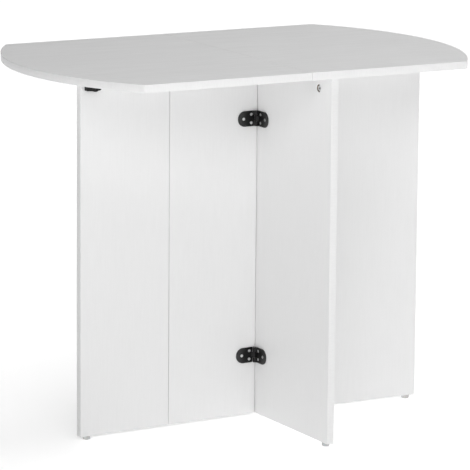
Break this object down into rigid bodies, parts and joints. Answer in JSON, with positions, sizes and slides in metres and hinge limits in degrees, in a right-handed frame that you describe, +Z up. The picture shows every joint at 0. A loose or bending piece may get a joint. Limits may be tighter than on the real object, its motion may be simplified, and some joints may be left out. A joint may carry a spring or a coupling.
{
  "type": "gateleg table",
  "caption": "Small table with bowed ends, a fixed half on crossed upright panels and a drop leaf carried by a folding gate.",
  "frame": {"origin": "on the floor under the middle of the open top", "axes": "+X along the table towards the fixed half, +Y towards the far side, away from the gate hinges, +Z up"},
  "size_m": [0.9, 0.6, 0.74],
  "materials": {
    "white_board": "white laminate with a fine linen grain, satin",
    "black_plastic": "moulded, satin black",
    "steel": "zinc plated, bright",
    "zinc": "die cast, dull",
    "beech": "bare beech, fluted",
    "foot_plastic": "pale grey moulded plastic"
  },
  "bodies": {
    "frame": {"top_fixed_half": "white_board", "cross_panel": "white_board", "side_panel": "white_board", "gate_hinge_lower_frame_leaf": "black_plastic", "gate_hinge_lower_pin": "steel", "gate_hinge_lower_frame_screw_1": "steel", "gate_hinge_lower_frame_screw_2": "steel", "gate_hinge_lower_frame_screw_3": "steel", "gate_hinge_upper_frame_leaf": "black_plastic", "gate_hinge_upper_pin": "steel", "gate_hinge_upper_frame_screw_1": "steel", "gate_hinge_upper_frame_screw_2": "steel", "gate_hinge_upper_frame_screw_3": "steel", "seam_hinge_near_fixed_leaf": "black_plastic", "seam_hinge_near_pin": "steel", "seam_hinge_far_fixed_leaf": "black_plastic", "seam_hinge_far_pin": "steel", "cam_cross_near": "zinc", "cam_cross_far": "zinc", "cam_side_top_inner": "zinc", "cam_side_top_outer": "zinc", "cam_side_end_lower": "zinc", "cam_side_end_upper": "zinc", "cam_bolt_cross_near": "steel", "cam_bolt_cross_far": "steel", "cam_bolt_side_top_inner": "steel", "cam_bolt_side_top_outer": "steel", "cam_bolt_side_end_lower": "steel", "cam_bolt_side_end_upper": "steel", "cross_dowel_near": "beech", "cross_dowel_far": "beech", "side_dowel_top": "beech", "side_dowel_lower": "beech", "side_dowel_upper": "beech", "foot_cross_near": "foot_plastic", "foot_cross_far": "foot_plastic", "foot_side": "foot_plastic"},
    "gate_inner": {"gate_inner_panel": "white_board", "gate_hinge_lower_gate_leaf": "black_plastic", "gate_hinge_lower_gate_screw_1": "steel", "gate_hinge_lower_gate_screw_2": "steel", "gate_hinge_lower_gate_screw_3": "steel", "fold_hinge_lower_inner_leaf": "black_plastic", "gate_hinge_upper_gate_leaf": "black_plastic", "gate_hinge_upper_gate_screw_1": "steel", "gate_hinge_upper_gate_screw_2": "steel", "gate_hinge_upper_gate_screw_3": "steel", "fold_hinge_upper_inner_leaf": "black_plastic"},
    "gate_outer": {"gate_outer_panel": "white_board", "fold_hinge_lower_outer_leaf": "black_plastic", "fold_hinge_lower_pin": "steel", "fold_hinge_upper_outer_leaf": "black_plastic", "fold_hinge_upper_pin": "steel", "foot_gate": "foot_plastic", "gate_catch": "black_plastic", "gate_catch_screw_1": "steel", "gate_catch_screw_2": "steel"},
    "drop_leaf": {"top_drop_leaf": "white_board", "seam_hinge_near_drop_leaf": "black_plastic", "seam_hinge_far_drop_leaf": "black_plastic"}
  },
  "joints": [
    {"name": "gate_swing", "type": "hinge", "parent": "frame", "child": "gate_inner", "pos_m": [0.0542, 0.0016, 0.36], "axis": [0, 0, 1], "range_deg": [-3, 87]},
    {"name": "gate_fold", "type": "hinge", "parent": "gate_inner", "child": "gate_outer", "pos_m": [-0.14377, 0.01486, 0.36], "axis": [0, 0, -1], "range_deg": [0, 180]},
    {"name": "leaf_hinge", "type": "hinge", "parent": "frame", "child": "drop_leaf", "pos_m": [0.005, 0, 0.7207], "axis": [0, 1, 0], "range_deg": [0, 1.2]}
  ]
}
